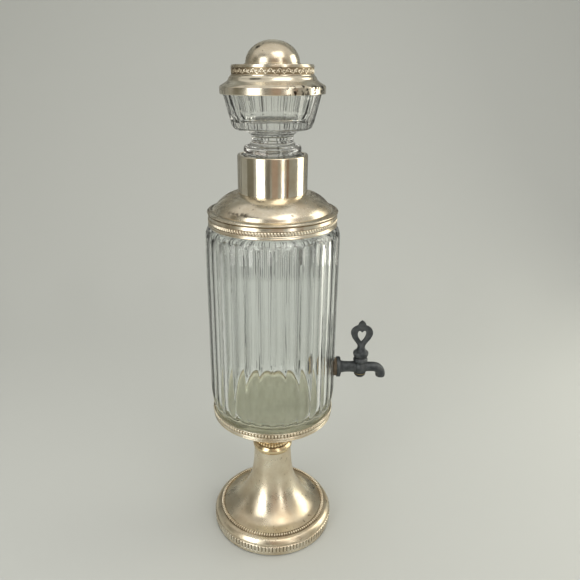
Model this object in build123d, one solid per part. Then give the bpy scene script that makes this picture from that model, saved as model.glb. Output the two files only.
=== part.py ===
"""Pedestal dispenser bottle: a fluted glass bottle in a beaded metal cup on a trumpet foot, with a metal
shoulder and neck collar, a faceted glass stopper under a domed metal cap, and a small plug-cock spigot.

Millimetres. +Z is up, the origin is the centre of the foot's underside, and the spigot points along +X.
"""
from build123d import *
import math
import os

# ---- driving dimensions -------------------------------------------------------------------------------
SHEET = 0.8                # spun metal
RUN = 0.05                 # radial clearance of parts that turn in each other
BODY_R = 58.3              # over the ridges between the flutes
GLASS_WALL = 4.8
FLUTES = 30
FLUTE_DEPTH = 1.5
FOOT_R = 58.6
STEM_R = 18.0
STOPPER_FACETS = 24
SCREW_R = 4.0              # tie screw that holds the cup on the stem

# ---- heights, from the table up -----------------------------------------------------------------------
PAD_TOP = 1.5              # felt pad
PLATE_TOP = 2.5            # closing plate
RIM_LOW = 1.0              # the foot's metal edge
BAND_LOW, BAND_HIGH = 4.0, 12.0
STEP_Z = 17.8              # groove round the foot's inner disc
DISC_Z = 19.6              # top of the inner disc's edge, where its beads sit
STEM_TOP = 86.4
COLLAR_TOP = 93.0          # moulding on the stem
CUP_LOW = 97.4             # underside of the cup
LIP_LOW, LIP_HIGH = 128.9, 137.0
GLASS_LOW = 131.0
GLASS_FLOOR = 139.5
SPIGOT_Z = 174.0
SHOULDER_LOW = 312.5       # lower edge of the metal shoulder's skirt
SHOULDER_RIM = 324.3       # middle of the rolled rim above the skirt
DOME_FOOT = 326.0
DOME_TOP = 340.0
GLASS_SHOULDER = 302.0     # here the glass starts to draw in
GLASS_NECK = 336.0         # foot of the neck
NECK_TOP = 370.3           # glass lip
NECK_COLLAR_TOP = 371.2
DISK_LOW, DISK_HIGH = 371.4, 378.3   # disk under the stopper's waist
BOWL_LOW = 391.6
CAP_LOW = 417.6
BOWL_TOP = 421.5
CAP_SHOULDER = 424.8
DRUM_LOW, DRUM_TOP = 430.6, 439.2
DOME_PEAK = 457.0

# ---- radii --------------------------------------------------------------------------------------------
STEP_R = 53.2
CUP_R = 55.8               # outside of the cup's lip
SKIRT_R = 54.1             # outside of the shoulder's skirt
NECK_R = 27.3              # outside of the glass neck
NECK_COLLAR_R = 29.0
MOUTH_R, THROAT_R = 22.6, 21.6       # the neck's ground taper, at its lip and at its foot
DISK_R = 23.5
BOWL_R = 40.4
CAP_R = 41.9
DRUM_R = 32.1
FINIAL_R = 21.2

# ---- spigot -------------------------------------------------------------------------------------------
FLANGE_X, FLANGE_THICK, FLANGE_R = 60.0, 3.4, 9.6
SHANK_R = 4.8
PIPE_R = 5.15
FLOW_R = 2.3
BARREL_X, BARREL_R = 82.5, 6.5
BARREL_LOW, BARREL_HIGH = 168.6, 184.6
PLUG_LOW_R, PLUG_HIGH_R = 3.7, 4.5   # the plug's taper
SPOUT_R = 4.5
SPOUT_BEND = 7.5
SPOUT_END_Z = 166.0
SPOUT_X = 102.0
NUT_FLATS, NUT_THICK = 15.0, 5.0
WASHER_THICK = 1.2
KEY_SKIRT_R, KEY_SKIRT_LOW, KEY_SKIRT_HIGH = 7.1, 185.0, 191.4
KEY_TIP = 221.3
KEY_THICK = 3.8


# ---- helpers ------------------------------------------------------------------------------------------
def closed_face(start, *steps):
    """Face bounded by steps that each go on from the last point: one point is a straight line, two are an
    arc through the first to the second, and more are a smooth curve."""
    edges, here = [], start
    for step in steps:
        points = [step] if isinstance(step[0], (int, float)) else list(step)
        if len(points) == 1:
            edges.append(Line(here, points[0]))
        elif len(points) == 2:
            edges.append(ThreePointArc(here, *points))
        else:
            edges.append(Spline(here, *points))
        here = points[-1]
    if math.dist(here, start) > 1e-6:
        edges.append(Line(here, start))
    return make_face(edges)


def lathe(start, *steps):
    """Solid turned about Z from an outline of (radius, height) points."""
    return revolve(Plane.XZ * closed_face(start, *steps), Axis.Z)


def ring(inner, outer, low, high):
    return lathe((inner, low), (outer, low), (outer, high), (inner, high))


def moulded_ring(inner, outer, low, high, edge):
    """Ring whose outer corners are rounded to the radius edge."""
    far = edge * (1 - math.sqrt(0.5))
    return lathe(
        (inner, low),
        (outer - edge, low),
        ((outer - far, low + far), (outer, low + edge)),
        (outer, high - edge),
        ((outer - far, high - far), (outer - edge, high)),
        (inner, high),
    )


def shifted(curve, distance):
    """The points of a curve moved sideways, to the left of its direction, for the other face of a sheet."""
    moved = []
    for i, (r, z) in enumerate(curve):
        before, after = curve[max(i - 1, 0)], curve[min(i + 1, len(curve) - 1)]
        dr, dz = after[0] - before[0], after[1] - before[1]
        length = math.hypot(dr, dz)
        moved.append((r - dz / length * distance, z + dr / length * distance))
    return moved


def along_x(radius, x0, x1, z=SPIGOT_Z):
    """Round bar along X at the spigot's height."""
    return Plane((x0, 0, z), z_dir=(1, 0, 0)) * Cylinder(
        radius, x1 - x0, align=(Align.CENTER, Align.CENTER, Align.MIN)
    )


def on_barrel(shape):
    """Moves a shape turned about Z to the spigot barrel's axis."""
    return Pos(BARREL_X, 0, 0) * shape


# ---- foot ---------------------------------------------------------------------------------------------
def felt_pad():
    return ring(0, FOOT_R - 3, 0, PAD_TOP)


def base_plate():
    return ring(0, FOOT_R - 2.2, PAD_TOP, PLATE_TOP)


def foot_shell():
    trumpet = [(49.0, DISC_Z), (42.0, 22.2), (35.0, 27.6), (28.0, 36.4), (23.2, 46.5), (20.3, 57.0),
               (18.8, 69.0), (STEM_R, STEM_TOP - 1)]
    inside = shifted(trumpet, SHEET)
    edge = FOOT_R - SHEET
    return lathe(
        (FOOT_R - 2.1, RIM_LOW),
        (FOOT_R, RIM_LOW),
        (FOOT_R, BAND_HIGH),
        ((FOOT_R - 1.6, 15.6), (STEP_R + 0.2, STEP_Z)),
        (STEP_R - 0.8, STEP_Z),
        (STEP_R - 0.8, DISC_Z),
        trumpet[0],
        trumpet[1:],
        (STEM_R, STEM_TOP),
        (SCREW_R + 0.3, STEM_TOP),
        (SCREW_R + 0.3, STEM_TOP - 1.2),
        (STEM_R - SHEET - 0.1, STEM_TOP - 1.2),
        [inside[-1]],
        inside[-2::-1],
        (STEP_R - 0.8 - SHEET, DISC_Z - SHEET),
        (STEP_R - 0.8 - SHEET, STEP_Z - SHEET),
        (STEP_R - 0.2, STEP_Z - SHEET),
        ((edge - 1.4, 15.0), (edge, BAND_HIGH)),
        (edge, PLATE_TOP),
        (FOOT_R - 2.1, PLATE_TOP),
    )


def foot_rim_band():
    return moulded_ring(FOOT_R, FOOT_R + 0.9, BAND_LOW, BAND_HIGH - 0.2, 0.6)


def foot_step_beads():
    return lathe((49.2, DISC_Z), (52.2, DISC_Z), ((50.7, DISC_Z + 1.5), (49.2, DISC_Z)))


def foot_tie_nut():
    high = STEM_TOP - 1.2 - WASHER_THICK
    nut = extrude(RegularPolygon(6.5, 6, major_radius=False), 6.5)
    return Pos(0, 0, high - 6.5) * nut - Pos(0, 0, high) * Cylinder(SCREW_R + RUN, 40)


def foot_tie_washer():
    high = STEM_TOP - 1.2
    return ring(SCREW_R + 0.3, 11.0, high - WASHER_THICK, high)


def stem_collar():
    return lathe(
        (SCREW_R + 0.3, STEM_TOP),
        (17.4, STEM_TOP),
        ((19.2, 89.6), (17.4, COLLAR_TOP)),
        (SCREW_R + 0.3, COLLAR_TOP),
    )


def stem_beads():
    return moulded_ring(SCREW_R + 0.3, 17.6, COLLAR_TOP, CUP_LOW, 1.4)


# ---- cup ----------------------------------------------------------------------------------------------
CUP_DISH = [(17.0, CUP_LOW), (21.0, 103.2), (30.0, 112.0), (40.0, 119.6), (49.0, 126.0), (CUP_R - 0.9, LIP_LOW)]
CUP_INSIDE = shifted(CUP_DISH, SHEET)


def cup_shell():
    lip_inside = CUP_R - SHEET
    return lathe(
        (SCREW_R + 0.3, CUP_LOW),
        CUP_DISH[0],
        CUP_DISH[1:],
        ((CUP_R + 0.7, LIP_LOW + 1.2), (CUP_R, LIP_LOW + 2.8)),
        (CUP_R, LIP_HIGH),
        (lip_inside, LIP_HIGH),
        (lip_inside, LIP_LOW + 1.5),
        CUP_INSIDE[-1],
        CUP_INSIDE[-2::-1],
        (SCREW_R + 0.3, CUP_LOW + SHEET),
    )


def cup_bead_band():
    return moulded_ring(CUP_R, CUP_R + 1.1, LIP_LOW + 3.4, LIP_HIGH, 0.8)


def cup_tie_screw():
    seat = CUP_LOW + SHEET
    head = extrude(RegularPolygon(6.5, 6, major_radius=False), 5.0)
    shank = Pos(0, 0, seat) * Cylinder(SCREW_R, 26.0, align=(Align.CENTER, Align.CENTER, Align.MAX))
    return Pos(0, 0, seat) * head + shank


def plaster_bed():
    """Cast bedding between the cup and the bottle, with a pocket round the tie screw's head."""
    pocket = 8.2
    return lathe(
        (pocket, CUP_LOW + SHEET),
        CUP_INSIDE[0],
        CUP_INSIDE[1:],
        (CUP_R - SHEET, LIP_LOW + 1.5),
        (CUP_R - SHEET, GLASS_LOW),
        (0, GLASS_LOW),
        (0, CUP_LOW + SHEET + 6.0),
        (pocket, CUP_LOW + SHEET + 6.0),
    )


# ---- glass bottle -------------------------------------------------------------------------------------
def bottle_outside():
    return lathe(
        (0, GLASS_LOW),
        (51.0, GLASS_LOW),
        ((52.9, 131.9), (53.8, 134.0)),
        [(54.6, 137.2), (56.0, 142.6), (57.5, 150.5), (BODY_R, 161.0)],
        (BODY_R, 303.5),
        ((57.0, 309.0), (52.7, 312.6)),
        [(45.0, 320.6), (36.0, 328.6), (30.0, 332.4)],
        ((28.1, 334.2), (NECK_R, 337.0)),
        (NECK_R, NECK_TOP - 0.8),
        ((NECK_R - 0.25, NECK_TOP - 0.25), (NECK_R - 0.8, NECK_TOP)),
        (0, NECK_TOP),
    )


def bottle_inside():
    wall = BODY_R - GLASS_WALL
    return lathe(
        (0, GLASS_FLOOR),
        (wall - 9.0, GLASS_FLOOR),
        ((wall - 2.6, GLASS_FLOOR + 2.6), (wall, GLASS_FLOOR + 9.0)),
        (wall, 301.0),
        ((wall - 1.2, 305.4), (49.6, 309.2)),
        [(42.0, 316.6), (33.0, 323.8), (26.0, 328.6)],
        ((23.2, 331.6), (THROAT_R, 336.0)),
        (MOUTH_R, NECK_TOP - 0.6),
        ((MOUTH_R + 0.2, NECK_TOP - 0.2), (MOUTH_R + 0.6, NECK_TOP)),
        (MOUTH_R + 0.6, NECK_TOP + 1),
        (0, NECK_TOP + 1),
    )


def fluted_prism():
    """Upright prism whose section is a ring of shallow hollows meeting in sharp ridges."""
    step = 2 * math.pi / FLUTES
    arcs = []
    for i in range(FLUTES):
        points = [
            (radius * math.cos(angle), radius * math.sin(angle))
            for radius, angle in (
                (BODY_R, (i - 0.5) * step),
                (BODY_R - FLUTE_DEPTH, i * step),
                (BODY_R, (i + 0.5) * step),
            )
        ]
        arcs.append(ThreePointArc(*points))
    return Pos(0, 0, GLASS_LOW - 1) * extrude(make_face(arcs), NECK_TOP - GLASS_LOW + 2)


def glass_slice(low, high):
    """The part of the one-piece glass bottle between two heights."""
    whole = (bottle_outside() & fluted_prism()) - bottle_inside()
    return whole & Pos(0, 0, low) * Cylinder(80, high - low, align=(Align.CENTER, Align.CENTER, Align.MIN))


def glass_bottle():
    return glass_slice(GLASS_LOW - 1, GLASS_SHOULDER) - along_x(SHANK_R + 0.5, 30, 70)


def glass_shoulder():
    return glass_slice(GLASS_SHOULDER, GLASS_NECK)


def glass_neck():
    return glass_slice(GLASS_NECK, NECK_TOP + 1)


# ---- metal shoulder and neck collar -------------------------------------------------------------------
def shoulder_cap():
    dome = [(29.4, DOME_TOP - 0.1), (36.4, 338.0), (43.2, 333.0), (49.0, DOME_FOOT)]
    inside = shifted(dome, -SHEET)
    hole = NECK_R + 0.5
    skirt_in = SKIRT_R - SHEET
    return lathe(
        (skirt_in, SHOULDER_LOW),
        (SKIRT_R, SHOULDER_LOW),
        (SKIRT_R, SHOULDER_RIM - 1.7),
        ((SKIRT_R + 1.2, SHOULDER_RIM), (SKIRT_R, SHOULDER_RIM + 1.5)),
        (50.4, DOME_FOOT - 0.4),
        dome[-1],
        dome[-2::-1],
        (hole, DOME_TOP),
        (hole, DOME_TOP - SHEET),
        inside[0],
        inside[1:],
        (50.2, DOME_FOOT - 1.3),
        (skirt_in, SHOULDER_RIM + 0.2),
    )


def shoulder_band():
    return moulded_ring(SKIRT_R, SKIRT_R + 0.9, SHOULDER_LOW + 0.3, SHOULDER_RIM - 1.9, 0.5)


def neck_collar():
    inside = NECK_COLLAR_R - SHEET
    lip = 25.8
    return lathe(
        (inside, DOME_TOP),
        (NECK_COLLAR_R, DOME_TOP),
        (NECK_COLLAR_R, NECK_COLLAR_TOP - 1.6),
        ((NECK_COLLAR_R - 0.5, NECK_COLLAR_TOP - 0.5), (NECK_COLLAR_R - 1.6, NECK_COLLAR_TOP)),
        (lip, NECK_COLLAR_TOP),
        (lip, NECK_TOP + 0.1),
        (inside - 0.5, NECK_TOP + 0.1),
        ((inside - 0.1, NECK_TOP - 0.3), (inside, NECK_TOP - 1.0)),
    )


# ---- stopper ------------------------------------------------------------------------------------------
SEAL_LOW = 347.0
SEAL_GAP = 0.09            # between the seal and the ground neck


def mouth_radius(z):
    """Radius of the neck's ground taper at a height."""
    share = (z - 336.0) / (NECK_TOP - 0.6 - 336.0)
    return THROAT_R + (MOUTH_R - THROAT_R) * share


def plug_radius(z):
    """Radius of the stopper's plug, inside the seal."""
    return mouth_radius(z) - SEAL_GAP - 1.3


def stopper_seal():
    top = NECK_TOP + 0.05
    flange_top = DISK_LOW - 0.05
    return lathe(
        (plug_radius(SEAL_LOW) + RUN, SEAL_LOW),
        (mouth_radius(SEAL_LOW) - SEAL_GAP, SEAL_LOW),
        (mouth_radius(NECK_TOP - 1.0) - SEAL_GAP, NECK_TOP - 1.0),
        (mouth_radius(NECK_TOP) - SEAL_GAP, top),
        (DISK_R + 0.6, top),
        (DISK_R + 0.6, flange_top),
        (plug_radius(flange_top) + RUN, flange_top),
    )


def stopper_glass():
    foot = SEAL_LOW - 3.0
    blank = lathe(
        (0, foot),
        (plug_radius(foot) - 1.5, foot),
        ((plug_radius(foot) - 0.4, foot + 0.4), (plug_radius(foot + 1.5), foot + 1.5)),
        (plug_radius(DISK_LOW), DISK_LOW),
        (DISK_R - 1.8, DISK_LOW),
        ((DISK_R - 0.5, DISK_LOW + 0.6), (DISK_R, DISK_LOW + 2.2)),
        (DISK_R, DISK_HIGH - 2.6),
        ((DISK_R - 0.7, DISK_HIGH - 0.8), (DISK_R - 2.4, DISK_HIGH)),
        [(18.3, 379.6), (16.9, 382.6), (17.1, 385.6), (19.2, 388.0)],
        (30.2, BOWL_LOW),
        ((32.4, BOWL_LOW + 1.7), (33.4, BOWL_LOW + 4.3)),
        (BOWL_R, BOWL_TOP),
        (BOWL_R - 4.6, BOWL_TOP),
        (29.4, 402.5),
        ((28.0, 399.4), (25.0, 398.2)),
        (0, 398.2),
    )
    low = Pos(0, 0, 370) * RegularPolygon(facet_radius(370), STOPPER_FACETS)
    high = Pos(0, 0, 430) * RegularPolygon(facet_radius(430), STOPPER_FACETS)
    return blank & loft([low, high], ruled=True)


def facet_radius(z):
    """Radius over the edges between the bowl's flat panels, which lean outwards."""
    lean = (BOWL_R - 33.4) / (BOWL_TOP - BOWL_LOW - 4.3)
    return BOWL_R - (BOWL_TOP - z) * lean


def cement_ring():
    return ring(BOWL_R - 4.4, BOWL_R - 0.4, BOWL_TOP, CAP_SHOULDER - SHEET - 0.2)


def stopper_cap():
    return lathe(
        (CAP_R - SHEET, CAP_LOW),
        (CAP_R - 0.3, CAP_LOW),
        (CAP_R, CAP_LOW + 0.4),
        (CAP_R, CAP_SHOULDER - 0.9),
        ((CAP_R - 0.25, CAP_SHOULDER - 0.25), (CAP_R - 0.9, CAP_SHOULDER)),
        [(38.4, 425.6), (35.4, 427.8), (33.6, DRUM_LOW)],
        (DRUM_R, DRUM_LOW),
        (DRUM_R, DRUM_TOP - 0.8),
        ((DRUM_R - 0.25, DRUM_TOP - 0.25), (DRUM_R - 0.8, DRUM_TOP)),
        (0, DRUM_TOP),
        (0, DRUM_TOP - SHEET),
        (DRUM_R - SHEET, DRUM_TOP - SHEET),
        (DRUM_R - SHEET, DRUM_LOW - SHEET),
        (32.8, DRUM_LOW - SHEET),
        [(34.8, 427.0), (38.0, 424.8), (40.2, CAP_SHOULDER - SHEET - 0.2)],
        (CAP_R - SHEET, CAP_SHOULDER - SHEET - 0.2),
    )


def stopper_frieze_band():
    return moulded_ring(DRUM_R, DRUM_R + 0.8, DRUM_LOW + 0.2, DRUM_TOP - 1.0, 0.3)


def stopper_dome():
    """Hollow half-ellipsoid knob with a small foot flange."""
    foot = DRUM_TOP + 0.9
    rise = DOME_PEAK - foot

    def dome_point(radius, height, angle):
        return radius * math.cos(angle), foot + height * math.sin(angle)

    angles = [math.radians(a) for a in (18, 36, 54, 72, 90)]
    outside = [dome_point(FINIAL_R, rise, a) for a in angles]
    inside = [dome_point(FINIAL_R - SHEET, rise - SHEET, a) for a in reversed(angles)]
    return lathe(
        (FINIAL_R - SHEET, DRUM_TOP),
        (FINIAL_R + 0.9, DRUM_TOP),
        (FINIAL_R + 0.9, DRUM_TOP + 0.5),
        (FINIAL_R, foot),
        outside,
        inside[0],
        inside[1:] + [(FINIAL_R - SHEET, foot)],
    )


# ---- spigot -------------------------------------------------------------------------------------------
INNER_WALL = BODY_R - GLASS_WALL
GASKET_R = 8.4


def plug_taper(z, gap=0.0):
    share = (z - BARREL_LOW) / (BARREL_HIGH - BARREL_LOW)
    return PLUG_LOW_R + (PLUG_HIGH_R - PLUG_LOW_R) * share + gap


def spout_path():
    corner = SPOUT_X - SPOUT_BEND
    low = SPIGOT_Z - SPOUT_BEND
    bow = SPOUT_BEND * math.sqrt(0.5)
    return [
        Line((BARREL_X, SPIGOT_Z), (corner, SPIGOT_Z)),
        ThreePointArc((corner, SPIGOT_Z), (corner + bow, low + bow), (SPOUT_X, low)),
        Line((SPOUT_X, low), (SPOUT_X, SPOUT_END_Z)),
    ]


def swept_pipe(radius):
    path = Plane.XZ * Curve(spout_path())
    return sweep(Plane((BARREL_X, 0, SPIGOT_Z), z_dir=(1, 0, 0)) * Circle(radius), path)


def spigot_body():
    flange = along_x(FLANGE_R, FLANGE_X, FLANGE_X + FLANGE_THICK)
    shank = along_x(SHANK_R, INNER_WALL - 12, FLANGE_X + 1)
    pipe = along_x(PIPE_R, FLANGE_X + FLANGE_THICK, BARREL_X)
    barrel = lathe(
        (0, BARREL_LOW),
        (5.6, BARREL_LOW),
        ((BARREL_R + 0.3, SPIGOT_Z - 2.6), (BARREL_R - 0.5, SPIGOT_Z + 3.4)),
        (5.7, 179.4),
        ((BARREL_R + 0.2, 182.0), (5.9, BARREL_HIGH)),
        (0, BARREL_HIGH),
    )
    seat = lathe(
        (0, BARREL_LOW - 1),
        (plug_taper(BARREL_LOW - 1, RUN), BARREL_LOW - 1),
        (plug_taper(BARREL_HIGH + 1, RUN), BARREL_HIGH + 1),
        (0, BARREL_HIGH + 1),
    )
    solid = flange + shank + pipe + on_barrel(barrel) + swept_pipe(SPOUT_R)
    bore = along_x(FLOW_R, INNER_WALL - 13, BARREL_X) + swept_pipe(FLOW_R)
    return solid - bore - on_barrel(seat)


def spigot_gasket_outer():
    return along_x(GASKET_R, BODY_R - 3, FLANGE_X) - along_x(SHANK_R + RUN, 40, 70) - glass_bottle()


def spigot_gasket_inner():
    start = INNER_WALL - 2.6
    return along_x(GASKET_R, start, INNER_WALL + 1) - along_x(SHANK_R + RUN, 40, 70) - glass_bottle()


def spigot_washer():
    start = INNER_WALL - 2.6 - WASHER_THICK
    return along_x(9.2, start, start + WASHER_THICK) - along_x(SHANK_R + RUN, 40, 70)


def spigot_nut():
    start = INNER_WALL - 2.6 - WASHER_THICK - NUT_THICK
    hexagon = RegularPolygon(NUT_FLATS / 2, 6, major_radius=False)
    nut = extrude(Plane((start, 0, SPIGOT_Z), z_dir=(1, 0, 0)) * hexagon, NUT_THICK)
    corners = along_x(NUT_FLATS / 2 + 0.9, start, start + NUT_THICK)
    return (nut & corners) - along_x(SHANK_R + RUN, 40, 70)


def key_handle_plate():
    """Flat pointed leaf with a heart-shaped window, in the XZ plane about X = 0."""
    side = [(3.5, 193.4), (3.6, 196.6), (5.4, 199.6), (8.5, 204.0), (10.1, 208.6), (9.3, 212.3), (6.6, 214.8),
            (4.0, 216.2), (2.3, 218.2), (0, KEY_TIP)]
    mirrored = [(-x, z) for x, z in reversed(side[:-1])]
    leaf = closed_face(
        (-3.6, KEY_SKIRT_HIGH - 1), (3.6, KEY_SKIRT_HIGH - 1), side[0], side[1:], mirrored
    )
    window = closed_face(
        (0, 199.6), [(1.8, 202.4), (3.4, 205.6), (3.9, 208.8)], ((2.2, 211.4), (0, 210.0)),
        ((-2.2, 211.4), (-3.9, 208.8)), [(-3.4, 205.6), (-1.8, 202.4), (0, 199.6)]
    )
    return extrude(Plane.XZ * (leaf - window), KEY_THICK / 2, both=True)


def spigot_key():
    skirt = lathe(
        (0, KEY_SKIRT_LOW),
        (KEY_SKIRT_R - 1.2, KEY_SKIRT_LOW),
        ((KEY_SKIRT_R, 188.0), (KEY_SKIRT_R - 1.4, 190.6)),
        (4.2, KEY_SKIRT_HIGH),
        (0, KEY_SKIRT_HIGH),
    )
    plug = lathe(
        (0, BARREL_LOW - 0.3),
        (plug_taper(BARREL_LOW - 0.3), BARREL_LOW - 0.3),
        (plug_taper(KEY_SKIRT_LOW), KEY_SKIRT_LOW),
        (0, KEY_SKIRT_LOW),
    )
    neck = lathe((0, KEY_SKIRT_HIGH - 1), (4.0, KEY_SKIRT_HIGH - 1), [(3.3, 194.0), (2.7, 197.0), (2.0, 199.4)],
                 (0, 199.4))
    stub = ring(0, 1.8, BARREL_LOW - 3.2, BARREL_LOW)
    cross_bore = along_x(FLOW_R, -10, 10)
    return on_barrel(skirt + plug + neck + stub + key_handle_plate() - cross_bore)


def key_washer():
    top = BARREL_LOW - 0.35
    return on_barrel(ring(1.8 + RUN, 5.2, top - 0.6, top))


def key_cap_nut():
    """Domed nut on the plug's threaded stub."""
    top = BARREL_LOW - 0.95
    dome = lathe((0, top - 4.2), ((4.0, top - 2.9), (5.5, top)), (0, top))
    return on_barrel(dome - Pos(0, 0, top) * Cylinder(1.8 + RUN, 5.2))


# ---- export -------------------------------------------------------------------------------------------
NODES = [
    felt_pad, base_plate, foot_shell, foot_rim_band, foot_step_beads, foot_tie_nut, foot_tie_washer,
    stem_collar, stem_beads, cup_shell, cup_bead_band, cup_tie_screw, plaster_bed, glass_bottle,
    glass_shoulder, glass_neck, shoulder_cap, shoulder_band, neck_collar, stopper_seal, stopper_glass, cement_ring, stopper_cap,
    stopper_frieze_band, stopper_dome, spigot_body, spigot_gasket_outer, spigot_gasket_inner,
    spigot_washer, spigot_nut, spigot_key, key_washer, key_cap_nut,
]

os.makedirs("parts", exist_ok=True)
for make in NODES:
    export_step(make(), f"parts/{make.__name__}.step")
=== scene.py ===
import math

import bpy
import numpy as np
from mathutils import Matrix, Vector


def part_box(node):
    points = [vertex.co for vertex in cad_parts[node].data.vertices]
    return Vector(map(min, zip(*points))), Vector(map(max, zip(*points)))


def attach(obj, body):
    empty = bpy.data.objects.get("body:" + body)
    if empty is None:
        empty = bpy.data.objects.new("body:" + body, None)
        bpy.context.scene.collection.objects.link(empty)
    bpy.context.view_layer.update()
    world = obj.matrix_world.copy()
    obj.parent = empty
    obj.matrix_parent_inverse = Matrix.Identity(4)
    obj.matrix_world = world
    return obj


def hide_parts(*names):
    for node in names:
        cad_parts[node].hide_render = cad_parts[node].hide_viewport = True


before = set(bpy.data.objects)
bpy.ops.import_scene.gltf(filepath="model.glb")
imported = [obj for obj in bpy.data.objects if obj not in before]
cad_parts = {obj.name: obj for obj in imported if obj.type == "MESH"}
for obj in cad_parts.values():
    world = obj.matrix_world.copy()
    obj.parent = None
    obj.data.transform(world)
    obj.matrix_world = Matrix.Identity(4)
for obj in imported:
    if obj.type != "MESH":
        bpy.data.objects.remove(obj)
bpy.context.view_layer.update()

MM = 0.001
TAU = 2 * math.pi


# ---- places taken from the CAD nodes ------------------------------------------------------------------
def span(node):
    """Lowest height, highest height and outer radius of a turned CAD node, in millimetres."""
    low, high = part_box(node)
    return low.z / MM, high.z / MM, (high.x - low.x) / 2 / MM


# ---- mesh helpers -------------------------------------------------------------------------------------
def add_mesh(name, points, faces, sharp=None):
    """Mesh object from points in millimetres, smooth shaded; edges sharper than the angle stay crisp."""
    mesh = bpy.data.meshes.new(name)
    mesh.from_pydata((np.asarray(points, float) * MM).tolist(), [], [list(map(int, f)) for f in faces])
    mesh.validate()
    mesh.shade_smooth()
    if sharp:
        mesh.set_sharp_from_angle(angle=math.radians(sharp))
    thing = bpy.data.objects.new(name, mesh)
    bpy.context.scene.collection.objects.link(thing)
    return thing


def grid_faces(rows, columns, close_rows=False):
    """Quads of a grid of points that closes round in its columns, and in its rows too if asked."""
    last = rows if close_rows else rows - 1
    r, c = np.meshgrid(np.arange(last), np.arange(columns), indexing="ij")
    r, c = r.ravel(), c.ravel()
    above = (r + 1) % rows
    right = (c + 1) % columns
    return np.stack([r * columns + c, r * columns + right, above * columns + right, above * columns + c], 1)


def smooth_run(points, steps=6):
    """Points of a smooth curve through the given points."""
    p = np.array(points, float)
    p = np.vstack([2 * p[0] - p[1], p, 2 * p[-1] - p[-2]])
    made = []
    for i in range(1, len(p) - 2):
        for t in np.arange(steps) / steps:
            a = 2 * p[i]
            b = p[i + 1] - p[i - 1]
            c = 2 * p[i - 1] - 5 * p[i] + 4 * p[i + 1] - p[i + 2]
            d = -p[i - 1] + 3 * p[i] - 3 * p[i + 1] + p[i + 2]
            made.append(tuple(0.5 * (a + b * t + c * t * t + d * t ** 3)))
    made.append(tuple(p[-2]))
    return made


def rounded(points, radius=0.4, steps=4):
    """An outline with each of its corners rounded by up to the radius; a third value is a corner's own."""
    made = []
    count = len(points)
    for i in range(count):
        here = np.array(points[i][:2], float)
        before = np.array(points[i - 1][:2], float)
        after = np.array(points[(i + 1) % count][:2], float)
        own = points[i][2] if len(points[i]) > 2 else radius
        a, b = before - here, after - here
        la, lb = np.linalg.norm(a), np.linalg.norm(b)
        cosine = float(np.clip(a @ b / (la * lb), -1, 1))
        if own <= 0 or cosine < -0.995:
            made.append(tuple(here))
            continue
        half = math.acos(cosine) / 2
        back = min(own / math.tan(half), 0.45 * la, 0.45 * lb)
        start, end = here + a / la * back, here + b / lb * back
        for k in range(steps + 1):
            t = k / steps
            made.append(tuple((1 - t) ** 2 * start + 2 * t * (1 - t) * here + t * t * end))
    return made


def turned(name, outline, segments=192, sharp=50):
    """Closed outline of (radius, height) points turned about Z."""
    p = np.array(outline, float)
    angle = np.arange(segments) / segments * TAU
    points = np.stack([
        np.outer(p[:, 0], np.cos(angle)),
        np.outer(p[:, 0], np.sin(angle)),
        np.outer(p[:, 1], np.ones(segments)),
    ], -1).reshape(-1, 3)
    return add_mesh(name, points, grid_faces(len(p), segments, True), sharp)


PAINTED_SHADE_SHARE = 0.3                # lowest part of a relief's depth, which gets painted shade


def relief(name, radius_at, heights, segments, inner, sharp=60):
    """Ring whose outer face follows radius_at(angle, height); its deepest share gets the second material,
    painted shade.
    """
    angle = np.arange(segments) / segments * TAU
    rows = [np.full(segments, inner)]
    levels = [heights[0]]
    for z in heights:
        rows.append(radius_at(angle, z))
        levels.append(z)
    rows.append(np.full(segments, inner))
    levels.append(heights[-1])
    r = np.array(rows)
    z = np.repeat(np.array(levels)[:, None], segments, 1)
    points = np.stack([r * np.cos(angle), r * np.sin(angle), z], -1).reshape(-1, 3)
    faces = grid_faces(len(rows), segments, True)
    thing = add_mesh(name, points, faces, sharp)
    flat = r.ravel()
    outer = r[1:-1]
    limit = outer.min() + PAINTED_SHADE_SHARE * (outer.max() - outer.min())
    # The deepest faces take the second material, which paints shade into the hollows.
    thing.data.polygons.foreach_set("material_index", (flat[faces].mean(1) < limit).astype(int))
    return thing


def ball(across=14, up=9):
    """Points and faces of a unit ball."""
    points = [(0, 0, -1)]
    for i in range(1, up):
        lift = -math.pi / 2 + math.pi * i / up
        for k in range(across):
            turn = TAU * k / across
            points.append((math.cos(lift) * math.cos(turn), math.cos(lift) * math.sin(turn), math.sin(lift)))
    points.append((0, 0, 1))
    faces = []
    for k in range(across):
        faces.append((0, 1 + (k + 1) % across, 1 + k))
        top = 1 + (up - 2) * across
        faces.append((len(points) - 1, top + k, top + (k + 1) % across))
    for i in range(up - 2):
        for k in range(across):
            a = 1 + i * across
            right = (k + 1) % across
            faces.append((a + k, a + right, a + across + right, a + across + k))
    return np.array(points), faces


def bead_ring(name, count, radius, height, size, seed):
    """Ring of balls with small differences in their size; size is (across, outwards, up)."""
    unit, faces = ball()
    random = np.random.default_rng(seed)
    points, all_faces = [], []
    for i in range(count):
        turn = TAU * (i + random.uniform(-0.03, 0.03)) / count
        grow = 1 + random.uniform(-0.05, 0.03)
        local = unit * np.array([size[1], size[0], size[2]]) * grow
        x = (radius + local[:, 0]) * math.cos(turn) - local[:, 1] * math.sin(turn)
        y = (radius + local[:, 0]) * math.sin(turn) + local[:, 1] * math.cos(turn)
        base = i * len(unit)
        points.append(np.stack([x, y, height + local[:, 2]], -1))
        all_faces.extend([tuple(v + base for v in f) for f in faces])
    return add_mesh(name, np.vstack(points), all_faces)


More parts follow.
